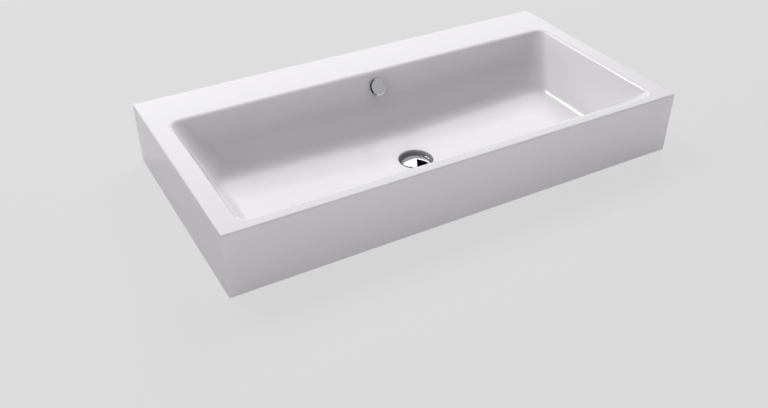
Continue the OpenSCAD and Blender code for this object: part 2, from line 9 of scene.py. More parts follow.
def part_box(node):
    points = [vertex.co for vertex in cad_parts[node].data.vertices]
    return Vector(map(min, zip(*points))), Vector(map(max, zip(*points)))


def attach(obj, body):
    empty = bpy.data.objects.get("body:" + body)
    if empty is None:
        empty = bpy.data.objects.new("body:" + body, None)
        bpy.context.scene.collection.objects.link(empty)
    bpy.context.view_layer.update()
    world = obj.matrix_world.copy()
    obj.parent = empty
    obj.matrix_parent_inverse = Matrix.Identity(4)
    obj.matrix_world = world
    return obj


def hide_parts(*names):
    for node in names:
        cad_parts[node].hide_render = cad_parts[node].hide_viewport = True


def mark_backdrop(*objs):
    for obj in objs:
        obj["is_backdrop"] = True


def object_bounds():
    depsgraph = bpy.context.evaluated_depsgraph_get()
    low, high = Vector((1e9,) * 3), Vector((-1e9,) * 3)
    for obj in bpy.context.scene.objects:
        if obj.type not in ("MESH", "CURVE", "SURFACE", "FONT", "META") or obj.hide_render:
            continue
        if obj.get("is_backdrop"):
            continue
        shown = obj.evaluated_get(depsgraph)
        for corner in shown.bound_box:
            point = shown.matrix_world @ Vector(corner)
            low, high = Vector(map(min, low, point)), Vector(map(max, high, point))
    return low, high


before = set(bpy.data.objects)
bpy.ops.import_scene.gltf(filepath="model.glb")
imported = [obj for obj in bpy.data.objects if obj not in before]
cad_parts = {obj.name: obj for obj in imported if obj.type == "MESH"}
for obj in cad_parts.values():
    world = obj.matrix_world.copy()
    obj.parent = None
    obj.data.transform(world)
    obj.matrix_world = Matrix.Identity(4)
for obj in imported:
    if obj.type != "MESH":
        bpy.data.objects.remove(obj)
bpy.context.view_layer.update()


# The viewpoint: above the basin and to the left of its front, at a standing person's distance, with a lens
# of normal length.
def placed(name, data):
    """A new object in the scene for a mesh, a lamp or a camera."""
    thing = bpy.data.objects.new(name, data)
    bpy.context.scene.collection.objects.link(thing)
    return thing


camera = placed("camera", bpy.data.cameras.new("camera"))
bpy.context.scene.camera = camera
camera.data.sensor_width = 36
camera.data.lens = 40.55
camera.location = (-0.7351, -1.2238, 0.8857)
looked_at = Vector((-0.2025, -0.2751, 0.120))
camera.rotation_euler = (looked_at - camera.location).to_track_quat("-Z", "Y").to_euler()


# The studio: a pale worktop that is open under the basin, so that light from below reaches the waste. Two
# soft boxes stand high at the back, left and right. A weak box at the left and a low strip at the front
# fill the shade.
class Wire:
    """An output in a node tree. Python's own arithmetic on it adds Math nodes."""

    def __init__(self, tree, socket):
        self.tree, self.socket = tree, socket

    def maths(self, operation, *others):
        values = dict(enumerate((self, *others)))
        return self.tree.add("ShaderNodeMath", {"operation": operation}, values)

    def __add__(self, other):
        return self.maths("ADD", other)

    def __sub__(self, other):
        return self.maths("SUBTRACT", other)

    def __rsub__(self, other):
        return (self * -1).maths("ADD", other)

    def __mul__(self, other):
        return self.maths("MULTIPLY", other)

    def __truediv__(self, other):
        return self.maths("DIVIDE", other)

    def __rtruediv__(self, other):
        return self.maths("POWER", -1) * other

    def __neg__(self):
        return self * -1

    __radd__, __rmul__ = __add__, __mul__

    def within(self, low, high):
        return self.maths("MAXIMUM", low).maths("MINIMUM", high)

    def eased(self):
        return self * self * (3 - 2 * self)


class Tree:
    """A node tree that is being wired. Every node in it comes from add()."""

    def __init__(self, nodes):
        self.nodes = nodes

    def add(self, kind, settings=None, sockets=None, out=0):
        node = self.nodes.nodes.new(kind)
        for name, value in (settings or {}).items():
            setattr(node, name, value)
        for name, value in (sockets or {}).items():
            if isinstance(value, Wire):
                self.nodes.links.new(value.socket, node.inputs[name])
            else:
                node.inputs[name].default_value = value
        return Wire(self, node.outputs[out] if len(node.outputs) else None)


def finish_tree(name):
    """An empty material tree, and the material that it belongs to."""
    material = bpy.data.materials.new(name)
    material.use_nodes = True
    material.node_tree.nodes.clear()
    return Tree(material.node_tree), material


def show(tree, surface):
    tree.add("ShaderNodeOutputMaterial", {}, {"Surface": surface})


def by_axis(tree, vector):
    """A vector's three numbers, one wire each."""
    split = tree.add("ShaderNodeSeparateXYZ", {}, {"Vector": vector}).socket.node
    return [Wire(tree, split.outputs[axis]) for axis in "XYZ"]


def flat_piece(name, points, faces, finish):
    """A piece without thickness, from its points and faces."""
    mesh = bpy.data.meshes.new(name)
    mesh.from_pydata(points, [], faces)
    mesh.materials.append(finish)
    return placed(name, mesh)


# The camera sees the worktop mostly as one plain tone, and not at all from underneath
plain_tone, plain_share = 0.75, 0.85
tree, worktop_finish = finish_tree("pale_worktop")
ray = tree.add("ShaderNodeLightPath", out="Is Camera Ray")
back = tree.add("ShaderNodeNewGeometry", out="Backfacing")
matt = tree.add("ShaderNodeBsdfDiffuse", {}, {"Color": (0.64, 0.63, 0.645, 1)})
plain = tree.add("ShaderNodeEmission", {}, {"Color": (1, 1, 1, 1), "Strength": plain_tone})
clear = tree.add("ShaderNodeBsdfTransparent")
top = tree.add("ShaderNodeMixShader", {}, {0: ray * plain_share, 1: matt, 2: plain})
show(tree, tree.add("ShaderNodeMixShader", {}, {0: back * ray, 1: top, 2: clear}))

worktop_z = -0.0003  # a hair below the basin's foot, which stands at 0
worktop_half = 6.0
cutout_x, cutout_y = 0.435, 0.215
worktop_points = [(x * half_x, y * half_y, worktop_z)
                  for half_x, half_y in ((worktop_half, worktop_half), (cutout_x, cutout_y))
                  for x, y in ((-1, -1), (1, -1), (1, 1), (-1, 1))]
worktop_faces = [(k, (k + 1) % 4, 4 + (k + 1) % 4, 4 + k) for k in range(4)]
worktop = flat_piece("worktop", worktop_points, worktop_faces, worktop_finish)

# The air: a weak fill, a white backdrop, a sheen that only glossy surfaces mirror, brightest at the back,
# and light from below
fill, backdrop, lift = 0.1, 0.9, 0.8
side_sheen, back_sheen = 0.42, 1.9
world = bpy.data.worlds.new("studio_air")
bpy.context.scene.world = world
world.use_nodes = True
world.node_tree.nodes.clear()
tree = Tree(world.node_tree)
seen = tree.add("ShaderNodeLightPath", out="Is Camera Ray")
mirrored = tree.add("ShaderNodeLightPath", out="Is Glossy Ray")
heading = tree.add("ShaderNodeTexCoord", out="Generated")
rightward, rearward, upward = by_axis(tree, heading)
from_below = (upward * -4).within(0, 1) * (1 - seen)
sheen = (side_sheen * ((rightward + 0.25) * 2).within(0, 1)).maths("MAXIMUM", back_sheen * rearward)
strength = fill * (1 - mirrored) + backdrop * seen + sheen * mirrored + lift * from_below
air = tree.add("ShaderNodeBackground", {}, {"Color": (1, 1, 1, 1), "Strength": strength})
tree.add("ShaderNodeOutputWorld", {}, {"Surface": air})


def soft_box(name, place, size, power, mirrored=False):
    """An area lamp that faces the basin. Glossy surfaces show it only if it is mirrored."""
    light = bpy.data.lights.new(name, "AREA")
    light.shape = "RECTANGLE"
    light.size, light.size_y = size
    light.energy = power
    box = placed(name, light)
    box.location = place
    box.rotation_euler = (Vector() - Vector(place)).to_track_quat("-Z", "Y").to_euler()
    box.visible_camera, box.visible_glossy = False, mirrored


soft_box("overhead_box", (-1.04, 2.08, 2.88), size=(1.6, 1.6), power=64.5, mirrored=True)
soft_box("back_right_box", (2.4, 2.4, 3.0), size=(1.9, 1.9), power=101)
soft_box("left_box", (-2.2, 0, 1.0), size=(1.2, 1.2), power=8)
soft_box("front_strip", (0, -2.2, 0.22), size=(2.0, 0.4), power=13.4)

# Three small black flags for the plating to mirror, out of the camera's sight: a card and a thin arc over
# the waste, and a strip round the left of the overflow cover
tree, black_cloth = finish_tree("black_cloth")
show(tree, tree.add("ShaderNodeBsdfDiffuse", {}, {"Color": (0.01, 0.01, 0.01, 1)}))


def black_flag(name, points, faces):
    """A piece of black cloth that only mirrors show."""
    flag = flat_piece(name, points, faces, black_cloth)
    flag.visible_camera = flag.visible_diffuse = flag.visible_shadow = False
    return flag


def ribbon(name, edges):
    """A flag between two edges, given as pairs of points."""
    points = [point for pair in edges for point in pair]
    return black_flag(name, points, [(k, k + 1, k + 3, k + 2) for k in range(0, len(points) - 2, 2)])


flag_z = 0.014
card = [(0.0123, -0.0209), (-0.0036, -0.0503), (-0.0080, -0.0630), (0.0360, -0.0630), (0.0320, -0.0410)]
waste_flag = black_flag("waste_flag", [(x, y, flag_z) for x, y in card], [range(len(card))])
arc_outside = [(-0.0295, -0.009), (-0.0294, -0.0189), (-0.0286, -0.025), (-0.0267, -0.0335),
               (-0.0241, -0.0398), (-0.0208, -0.0445), (-0.0162, -0.0503)]
arc_inside = [(-0.0253, -0.006), (-0.0252, -0.015), (-0.0249, -0.022), (-0.0234, -0.0303),
              (-0.0210, -0.0364), (-0.0181, -0.0411), (-0.0133, -0.0464)]
edge_flag = ribbon("edge_flag", [((*out, flag_z), (*inside, flag_z))
                                 for out, inside in zip(arc_outside, arc_inside)])

at_overflow = Matrix.Translation((0, 0.111993, 0.093)) @ Matrix.Rotation(math.radians(53.5), 4, "X")
strip_r, strip_heights = 0.0195, (0.0005, 0.009)
strip_turns = [math.radians(a) for a in range(95, 246, 6)]
strip = [[at_overflow @ Vector((strip_r * math.cos(a), strip_r * math.sin(a), h)) for h in strip_heights]
         for a in strip_turns]
cover_flag = ribbon("cover_flag", strip)

bpy.context.scene.view_settings.view_transform = "Standard"
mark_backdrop(worktop, waste_flag, edge_flag, cover_flag)


# The basin: one steel sheet, pressed and welded into a bowl inside a square-edged box, then coated with
# white glass enamel, which is duller on the wall of the recess; that wall is painted darker grey as
# painted shade. The underside keeps the dark ground coat of the first firing.
section_steps = {
    "recess_floor": 3, "recess_foot": 5, "recess_wall": 4, "recess_lip": 6, "drain_flat": 3, "floor": 10,
    "cove": 24, "wall": 10, "rim_edge": 12, "rim": 8, "outer_edge": 8, "skirt": 8,
}
corner_steps, straight_steps = 32, 8
basin_sizes = {
    "Width": 0.900, "Depth": 0.460, "Height": 0.120,
    "Side Rim": 0.0291, "Front Rim": 0.0170, "Back Rim": 0.0930,
    "Outer Edge": 0.0025, "Outer Corner": 0.0032, "Rim Edge": 0.010,
    "Side Lean": math.radians(26.5), "Long Lean": math.radians(36.5),
    "Drop": 0.1065, "Floor Fall": 0.0035, "End Rise": 0.007, "Side Cove": 0.021, "Long Cove": 0.036,
    "Rim Corner": 0.020, "Floor Corner": 0.040,
    "Waste Hole": 0.023, "Recess": 0.033, "Recess Drop": 0.017, "Recess Lip": 0.002, "Recess Foot": 0.0015,
    "Drain Flat": 0.012,
}
sheet_t = 0.0025
quarter_turn = math.pi / 2
weld_gap = 0.00001


def cos(angle):
    return angle.maths("COSINE")


def sin(angle):
    return angle.maths("SINE")


def pressed_form(tree, size):
    """The enamelled face as one net: rows run from the waste hole out to the foot, columns run round."""
    per_corner = corner_steps + 1 + 2 * straight_steps
    columns = 4 * per_corner + 1
    rows = sum(section_steps.values()) + 1
    net = tree.add("GeometryNodeMeshGrid", {}, {"Vertices X": rows, "Vertices Y": columns}, out="Mesh")
    index = tree.add("GeometryNodeInputIndex")
    row = (index / columns).maths("FLOOR")
    column = index - row * columns

    # Each leg of the section has its own run from 0 to 1
    along, first = {}, 0
    for leg, count in section_steps.items():
        along[leg] = ((row - first) / count).within(0, 1)
        first += count
    for leg in ("floor", "wall", "rim", "skirt"):
        along[leg] = along[leg].eased()

    # The direction round the bowl: four corners, each with a run of columns on the straight at its two ends
    corner = (column / per_corner).maths("FLOOR").maths("MODULO", 4)
    place = column.maths("MODULO", per_corner) - straight_steps
    on_arc = place.within(0, corner_steps)
    past = (place - on_arc) / straight_steps
    angle = (corner + on_arc / corner_steps) * quarter_turn
    middle = (corner + 0.5) * quarter_turn
    right, rear = cos(middle).maths("SIGN"), sin(middle).maths("SIGN")
    cos_a, sin_a = cos(angle), sin(angle)

    # How far the rounded edge of the rim reaches over each wall, and where the walls start from it
    run_side = size["Rim Edge"] * (1 - sin(size["Side Lean"])) / cos(size["Side Lean"])
    run_long = size["Rim Edge"] * (1 - sin(size["Long Lean"])) / cos(size["Long Lean"])
    lip_back = size["Depth"] / 2 - size["Back Rim"] - run_long
    lip_front = size["Depth"] / 2 - size["Front Rim"] - run_long
    bowl_y = (lip_back - lip_front) / 2
    flat_r = size["Recess"] + size["Recess Lip"] + size["Drain Flat"]

    def foot_of(lip, lean, cove, drop):
        """How far from the middle a wall's cove meets the floor."""
        return lip - (cove + (drop - cove) * sin(lean)) / cos(lean)

    def around(half_x, half_y, radius):
        """The column's place on a rounded rectangle."""
        x = right * (half_x - radius) + radius * cos_a - past * sin_a * (half_x - radius)
        y = rear * (half_y - radius) + radius * sin_a + past * cos_a * (half_y - radius)
        return x, y

    def section(lip, lean, cove, drop, floor_z):
        """Reach and height of the section through one pair of walls."""
        foot = foot_of(lip, lean, cove, drop)
        edge = size["Rim Edge"]
        bend = (quarter_turn - lean) * along["cove"]
        roll = lean + (quarter_turn - lean) * along["rim_edge"]
        wall_run = lip + edge * (1 - sin(lean)) / cos(lean) - edge * cos(lean) - foot - cove * cos(lean)
        wall_rise = edge * (sin(lean) - 1) + drop - cove * (1 - sin(lean))
        out = (foot - flat_r) * along["floor"] + cove * sin(bend) + wall_run * along["wall"]
        out = out + edge * (cos(lean) - cos(roll))
        up = (-drop - floor_z) * along["floor"] + cove * (1 - cos(bend)) + wall_rise * along["wall"]
        up = up + edge * (sin(roll) - sin(lean))
        return out, up

    floor_z = -(size["Drop"] + size["Floor Fall"])
    lip_x = size["Width"] / 2 - size["Side Rim"] - run_side
    lip_y = (lip_back + lip_front) / 2
    corner_foot = size["Floor Corner"] - size["Side Cove"] * cos(size["Side Lean"])

    # The floor rises on all sides of the waste, so it ends highest at the corners and the side walls
    far_x = foot_of(lip_x, size["Side Lean"], size["Side Cove"], size["Drop"])
    far_y = foot_of(lip_y, size["Long Lean"], size["Long Cove"], size["Drop"])
    foot_x, foot_y = around(far_x, far_y, corner_foot)
    away = (foot_x * foot_x + foot_y * foot_y).maths("SQRT")
    drop = size["Drop"] - size["End Rise"] * (away - far_y) / (far_x - far_y)
    side_out, side_up = section(lip_x, size["Side Lean"], size["Side Cove"], drop, floor_z)
    long_out, long_up = section(lip_y, size["Long Lean"], size["Long Cove"], drop, floor_z)

    # The round recess, where the rows start
    foot_turn = quarter_turn * along["recess_foot"]
    lip_turn = quarter_turn * along["recess_lip"]
    recess_out = (size["Recess"] - size["Recess Foot"] - size["Waste Hole"]) * along["recess_floor"]
    recess_out = size["Waste Hole"] + recess_out + size["Recess Foot"] * sin(foot_turn)
    recess_out = recess_out + size["Recess Lip"] * (1 - cos(lip_turn))
    recess_out = recess_out + size["Drain Flat"] * along["drain_flat"]
    recess_wall = size["Recess Drop"] - size["Recess Foot"] - size["Recess Lip"]
    recess_up = size["Recess Foot"] * (1 - cos(foot_turn)) + recess_wall * along["recess_wall"]
    recess_up = recess_up + size["Recess Lip"] * sin(lip_turn)
    start_z = floor_z - size["Recess Drop"]

    # The rim and the skirt
    rim, roll = along["rim"], quarter_turn * along["outer_edge"]
    edge_out = size["Outer Edge"] * sin(roll)
    drop_out = (size["Height"] - size["Outer Edge"]) * along["skirt"] + size["Outer Edge"] * (1 - cos(roll))
    half_x = recess_out + side_out + (size["Side Rim"] - size["Outer Edge"]) * rim + edge_out
    rim_y = size["Depth"] / 2 - size["Outer Edge"] - (lip_y + run_long)
    half_y = recess_out + long_out + rim_y * rim + edge_out
    mid_y = bowl_y * (1 - rim)
    corner_rim = size["Rim Corner"] + size["Rim Edge"] * cos(size["Side Lean"])
    bend = (quarter_turn - size["Side Lean"]) * along["cove"]
    lean_roll = size["Side Lean"] + (quarter_turn - size["Side Lean"]) * along["rim_edge"]
    radius = recess_out + (corner_foot - flat_r) * along["floor"] + size["Side Cove"] * sin(bend)
    radius = radius + (size["Rim Corner"] - size["Floor Corner"]) * along["wall"]
    radius = radius + size["Rim Edge"] * (cos(size["Side Lean"]) - cos(lean_roll))
    radius = radius + (size["Outer Corner"] - size["Outer Edge"] - corner_rim) * rim + edge_out

    # Round a corner, the height passes from the section of the side walls to that of the long walls
    x, y = around(half_x, half_y, radius)
    share = sin_a * sin_a
    up = start_z + recess_up + side_up * (1 - share) + long_up * share
    z = size["Height"] + up - drop_out
    at = tree.add("ShaderNodeCombineXYZ", {}, {"X": x, "Y": mid_y + y, "Z": z})
    net = tree.add("GeometryNodeSetPosition", {}, {"Geometry": net, "Position": at})
    return tree.add("GeometryNodeMergeByDistance", {}, {"Geometry": net, "Distance": weld_gap})


def grown(name, form, sizes, material):
    """A piece grown by a Geometry Nodes tree with named sizes, as a plain mesh."""
    group = bpy.data.node_groups.new(name, "GeometryNodeTree")
    for label in sizes:
        group.interface.new_socket(label, in_out="INPUT", socket_type="NodeSocketFloat")
    group.interface.new_socket("Mesh", in_out="OUTPUT", socket_type="NodeSocketGeometry")
    tree = Tree(group)
    entry = group.nodes.new("NodeGroupInput")
    shape = form(tree, {label: Wire(tree, entry.outputs[label]) for label in sizes})
    shape = tree.add("GeometryNodeRealizeInstances", {}, {"Geometry": shape})
    shape = tree.add("GeometryNodeSetMaterial", {}, {"Geometry": shape, "Material": material})
    tree.add("NodeGroupOutput", {}, {0: shape})
    seed = placed(name + "_seed", bpy.data.meshes.new(name + "_seed"))
    growth = seed.modifiers.new("growth", "NODES")
    growth.node_group = group
    for socket in group.interface.items_tree:
        if socket.in_out == "INPUT":
            growth[socket.identifier] = float(sizes[socket.name])
    return baked(seed, name)


def baked(source, name):
    """A plain copy of an object with its modifiers worked in. The source goes."""
    bpy.context.view_layer.update()
    graph = bpy.context.evaluated_depsgraph_get()
    mesh = bpy.data.meshes.new_from_object(source.evaluated_get(graph), depsgraph=graph)
    bpy.data.objects.remove(source)
    mesh.name = name
    return placed(name, mesh)


def smoothed(piece, crease=32):
    """Smooth shading that stays crisp at edges sharper than crease, in degrees."""
    piece.data.polygons.foreach_set("use_smooth", [True] * len(piece.data.polygons))
    piece.data.set_sharp_from_angle(angle=math.radians(crease))
    return piece


def blend(tree, mask, first, second):
    """A mix of two colours, each a bare colour or the result of another mix."""
    tones = [tone if isinstance(tone, Wire) else (*tone, 1) for tone in (first, second)]
    return tree.add("ShaderNodeMix", {"data_type": "RGBA"}, {0: mask, 6: tones[0], 7: tones[1]}, out=2)


def noise(tree, where, scale, detail=2.0):
    return tree.add("ShaderNodeTexNoise", {}, {"Vector": where, "Scale": scale, "Detail": detail})


def bump(tree, height, strength, depth):
    return tree.add("ShaderNodeBump", {}, {"Height": height, "Strength": strength, "Distance": depth})


def patterned_finish(name):
    """An empty material tree, its material, and the place on the piece that its patterns follow."""
    tree, finish = finish_tree(name)
    return tree, finish, tree.add("ShaderNodeTexCoord", out="Object")


# Painted shade: the wall of the recess is coloured a darker grey for the shade that falls in it, and its coat
# is made rougher and duller there
waste_y = -0.038
recess_shade_r, recess_shade_top = 0.036, 0.0098
fade_out, fade_up = 1000, 350
tree, enamel, where = patterned_finish("white_glass_enamel")
x, y, z = by_axis(tree, where)
from_waste = (x * x + (y - waste_y) * (y - waste_y)).maths("SQRT")
# Painted shade: this mask blends the recess wall's colour to dark grey, and also raises its roughness
recess_shade_and_dull_coat = ((recess_shade_r - from_waste) * fade_out).within(0, 1) * ((recess_shade_top - z) * fade_up).within(0, 1)
drift = noise(tree, where, scale=4.0)
ripple = noise(tree, where, scale=70.0, detail=1.0)
white = blend(tree, drift, (0.890, 0.872, 0.893), (0.910, 0.892, 0.912))
show(tree, tree.add("ShaderNodeBsdfPrincipled", {}, {
    "Base Color": blend(tree, recess_shade_and_dull_coat, white, (0.36, 0.36, 0.37)), "IOR": 1.5,
    "Roughness": 0.08 + 0.05 * drift + 0.35 * recess_shade_and_dull_coat,
    "Normal": bump(tree, ripple, strength=0.02, depth=0.0003)}))

tree, ground_coat, where = patterned_finish("dark_ground_coat")
specks = ((noise(tree, where, scale=900.0, detail=0.0) - 0.66) * 20).within(0, 1)
cloud = noise(tree, where, scale=14.0, detail=3.0)
base = blend(tree, cloud, (0.022, 0.026, 0.040), (0.036, 0.041, 0.058))
show(tree, tree.add("ShaderNodeBsdfPrincipled", {}, {
    "Base Color": blend(tree, specks * 0.5, base, (0.34, 0.35, 0.38)), "Roughness": 0.28 + 0.2 * cloud}))

basin = grown("basin_enamel", pressed_form, basin_sizes, enamel)
basin.data.materials.append(ground_coat)
sheet = basin.modifiers.new("sheet", "SOLIDIFY")
sheet.thickness, sheet.offset, sheet.use_even_offset = sheet_t, -1, True
sheet.material_offset = 1
basin = baked(basin, "basin_enamel")


def turned(outline, swell=None, columns=96):
    """Points and faces of a closed outline of (radius, height), in millimetres, turned round Z."""
    points, faces, count = [], [], len(outline)
    total = columns * count
    for k in range(columns):
        turn = 2 * math.pi * k / columns
        for i, (r, z) in enumerate(outline):
            r += swell(turn, r, z) if swell else 0
            points.append((r * math.cos(turn), r * math.sin(turn), z))
            ahead = (i + 1) % count
            if outline[i][0] or outline[ahead][0]:
                here, there = k * count + i, k * count + ahead
                faces.append([here, there, (there + count) % total, (here + count) % total])
    return points, faces


def rod(radius, low, high, columns=96):
    """Points and faces of a plain round rod along Z, in millimetres."""
    return turned([(0, low), (radius, low), (radius, high), (0, high)], columns=columns)


def sawn(outline, low, high):
    """Points and faces of a closed outline in X and Y, in millimetres, cut to a length along Z."""
    n = len(outline)
    points = [(x, y, z) for z in (low, high) for x, y in outline]
    sides = [[i, (i + 1) % n, n + (i + 1) % n, n + i] for i in range(n)]
    return points, [list(range(n))[::-1], list(range(n, 2 * n)), *sides]


def filleted(corners, steps=5):
    """A closed outline from corners (x, y, radius), each rounded to its radius."""
    outline = []
    for k, (x, y, radius) in enumerate(corners):
        if not radius:
            outline.append((x, y))
            continue
        corner = Vector((x, y))
        back = (Vector(corners[k - 1][:2]) - corner).normalized()
        ahead = (Vector(corners[(k + 1) % len(corners)][:2]) - corner).normalized()
        half = back.angle(ahead) / 2
        middle = corner + (back + ahead).normalized() * radius / math.sin(half)
        first = corner + back * (radius / math.tan(half)) - middle
        last = corner + ahead * (radius / math.tan(half)) - middle
        for i in range(steps + 1):
            spoke = first.slerp(last, i / steps).normalized() * radius
            outline.append((middle.x + spoke.x, middle.y + spoke.y))
    return outline


def made(name, *parts, at=Matrix(), finish=None):
    """One piece from parts in millimetres, each (points, faces) and perhaps its own place, set at a place."""
    net = bmesh.new()
    for points, faces, *own in parts:
        where = at @ own[0] if own else at
        verts = [net.verts.new(where @ (Vector(point) * 0.001)) for point in points]
        for face in faces:
            net.faces.new([verts[i] for i in face])
    bmesh.ops.remove_doubles(net, verts=net.verts, dist=1e-7)
    bmesh.ops.recalc_face_normals(net, faces=net.faces)
    mesh = bpy.data.meshes.new(name)
    net.to_mesh(mesh)
    net.free()
    mesh.materials.append(finish)
    return placed(name, mesh)


def worked(piece, tool, how="DIFFERENCE"):
    """The piece with the tool's shape taken away, added, or kept as all that is left."""
    name = piece.name
    step = piece.modifiers.new("work", "BOOLEAN")
    step.operation, step.solver, step.object = how, "EXACT", tool
    piece = baked(piece, name)
    bpy.data.objects.remove(tool)
    return piece


def settle(piece, body, slot, *nodes):
    """Hangs a piece on its body and hides the CAD nodes that it stands for. The slot is not used."""
    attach(piece, body)
    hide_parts(*nodes)


punch = made("wall_punch", rod(13, low=-8, high=5), at=at_overflow, finish=enamel)
basin = smoothed(worked(basin, punch))
settle(basin, "basin", "enamel", "basin_shell")


# Two damping pads: heavy bitumen sheet with a rolled diamond pattern, glued under the floor so that
# running water doesn't drum.
ridge_rate = 520  # radians a metre: a groove every 4.3 mm
tree, damping_sheet, where = patterned_finish("bitumen_damping_sheet")
x, y = by_axis(tree, where)[:2]
diamond = (sin((x + y) * ridge_rate) * sin((x - y) * ridge_rate)).maths("ABSOLUTE")
grain = noise(tree, where, scale=1400.0)
stains = noise(tree, where, scale=25.0, detail=4.0)
relief = diamond.within(0, 0.3) * 2.5 + grain * 0.25
show(tree, tree.add("ShaderNodeBsdfPrincipled", {}, {
    "Base Color": blend(tree, stains, (0.020, 0.020, 0.021), (0.046, 0.045, 0.044)),
    "Roughness": 0.5 + 0.25 * grain, "Normal": bump(tree, relief, strength=0.5, depth=0.0005)}))

pad_t, glue_t = 0.004, 0.0005
long_steps, short_steps = 40, 22
below_basin, straight_up = -0.1, Vector((0, 0, 1))
underside = BVHTree.FromPolygons([vertex.co for vertex in basin.data.vertices],
                                 [face.vertices for face in basin.data.polygons])
for side in ("left", "right"):
    low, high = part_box("damping_pad_" + side)
    points = []
    for k in range(long_steps + 1):
        for i in range(short_steps + 1):
            x = low[0] + (high[0] - low[0]) * k / long_steps
            y = low[1] + (high[1] - low[1]) * i / short_steps
            floor_at = underside.ray_cast(Vector((x, y, below_basin)), straight_up)[0]
            points.append((x, y, floor_at.z - glue_t))
    row = short_steps + 1
    faces = [(k, k + row, k + row + 1, k + 1) for k in range(long_steps * row) if k % row < short_steps]
    pad = flat_piece("pad_face", points, faces, damping_sheet)
    body = pad.modifiers.new("body", "SOLIDIFY")
    body.thickness, body.offset = pad_t, -1
    cut_edge = pad.modifiers.new("cut_edge", "BEVEL")
    cut_edge.width, cut_edge.segments, cut_edge.angle_limit = 0.0006, 2, math.radians(60)
    pad = smoothed(baked(pad, side + "_pad_sheet"))
    settle(pad, "basin", "damping_sheet", "damping_pad_" + side)


# The waste flange: a brass casting with a shallow polished dish and a tail that is threaded outside,
# with four overflow ports and a spoked web that carries the cartridge. All of it is chrome plated.
tree, chrome, where = patterned_finish("polished_chrome")
haze = noise(tree, where, scale=55.0, detail=4.0)
polish = noise(tree, where, scale=600.0, detail=1.0)
show(tree, tree.add("ShaderNodeBsdfPrincipled", {}, {
    "Base Color": blend(tree, haze, (0.85, 0.84, 0.86), (0.905, 0.895, 0.91)), "Metallic": 1.0,
    "Roughness": 0.035 + 0.05 * haze, "Normal": bump(tree, polish, strength=0.04, depth=0.0001)}))

at_waste = Matrix.Translation((0, waste_y, 0))
tail_r = 20.95
thread_pitch, thread_depth = 2.309, 1.1


def thread(crest, stretches, depth, pitch):
    """A right-handed thread cut into the wall whose radius is crest, on each stretch of its height."""
    runout = 1.5
    groove_shape = 1.2

    def swell(turn, r, z):
        for low, high in stretches:
            if abs(r - crest) < 0.01 and low < z < high:
                phase = (z / pitch - turn / (2 * math.pi)) % 1
                share = min(1, (z - low) / runout, (high - z) / runout)
                return -depth * share * (1 - abs(2 * phase - 1)) ** groove_shape
        return 0
    return swell


def fine_wall(radius, start, end, steps):
    """Points of a straight wall, close enough together to take a thread."""
    return [(radius, start + (end - start) * k / steps) for k in range(steps + 1)]


def spoke_place(turn):
    """A spoke's place round Z: its length runs outward, its width round and its height up."""
    lying = Matrix(((0, 0, 1, 0), (1, 0, 0, 0), (0, 1, 0, 0), (0, 0, 0, 1)))
    return Matrix.Rotation(math.radians(turn), 4, "Z") @ lying


# The tail's wall: the backnut's stretch of thread, a groove, and the trap's stretch
nut_top, nut_foot = -45.5, -58.4
trap_top, trap_foot = -60.4, -88.8
groove = [(tail_r, -58.5), (20.45, -58.8), (20.45, -59.7), (tail_r, -60)]
wall = fine_wall(tail_r, nut_top, nut_foot, 56) + groove + fine_wall(tail_r, trap_top, trap_foot, 124)
cup = filleted([(20.4, -90, 0), (17.55, -90, 0.5), (17.55, -3, 1.0), (31, -3, 1.2), (31, 0, 0.5),
                (32.5, 0, 0.9), (32.5, -5, 1.2), (tail_r, -5, 0)])
tail_thread = thread(tail_r, [(trap_foot, trap_top), (nut_foot, nut_top)], thread_depth, thread_pitch)
flange = made("waste_flange_casting", turned(cup + wall, tail_thread), at=at_waste, finish=chrome)
port = filleted([(-4.5, -32.5, 4.4), (4.5, -32.5, 4.4), (4.5, -18.5, 4.4), (-4.5, -18.5, 4.4)], 8)
ports = [(*sawn(port, 14, 24), spoke_place(45 + 90 * k)) for k in range(4)]
flange = worked(flange, made("port_mill", *ports, at=at_waste, finish=chrome))
spoke = filleted([(-1.5, -43, 0.8), (1.5, -43, 0.8), (1.5, -38, 0.8), (-1.5, -38, 0.8)])
spokes = [(*sawn(spoke, 7.4, 19), spoke_place(120 * k)) for k in range(3)]
hub = turned(filleted([(4.05, -43, 0.3), (4.05, -38, 0.3), (8, -38, 0.6), (8, -43, 0.9)]))
web = made("web_hub", hub, at=at_waste, finish=chrome)
web = worked(web, made("web_spokes", *spokes, at=at_waste, finish=chrome), "UNION")
flange = smoothed(worked(flange, web, "UNION"))
settle(flange, "basin", "chrome", "waste_flange")


# The seals: moulded black rubber rings under the cup, round the collar and behind the overflow, and a
# lip seal in the cap's groove.
def dress(finish, *nodes):
    """Gives carried-over CAD nodes their finish."""
    for node in nodes:
        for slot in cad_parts[node].material_slots:
            slot.material = finish


tree, rubber, where = patterned_finish("moulded_black_rubber")
bloom = noise(tree, where, scale=90.0, detail=5.0)
pores = noise(tree, where, scale=2200.0)
show(tree, tree.add("ShaderNodeBsdfPrincipled", {}, {
    "Base Color": blend(tree, bloom, (0.014, 0.014, 0.015), (0.036, 0.036, 0.037)),
    "Roughness": 0.55 + 0.3 * bloom, "Normal": bump(tree, pores, strength=0.25, depth=0.00008)}))
dress(rubber, "flange_seal", "cap_seal", "underside_seal", "collar_seal", "overflow_gasket")


# The push-open cartridge: an acetal body and plunger with a grey cover and ratchet rotor, round a
# spring of stainless wire. A brass stud joins the plunger to the cap.
def moulded(name, dark, light, sheen):
    """A moulded plastic with a fine spark-eroded grain and faint flow marks."""
    tree, plastic, where = patterned_finish(name)
    flow = noise(tree, where, scale=30.0, detail=3.0)
    grain = noise(tree, where, scale=1800.0)
    show(tree, tree.add("ShaderNodeBsdfPrincipled", {}, {
        "Base Color": blend(tree, flow, dark, light), "Roughness": sheen + 0.12 * grain + 0.08 * flow,
        "Normal": bump(tree, grain, strength=0.15, depth=0.00008)}))
    return plastic


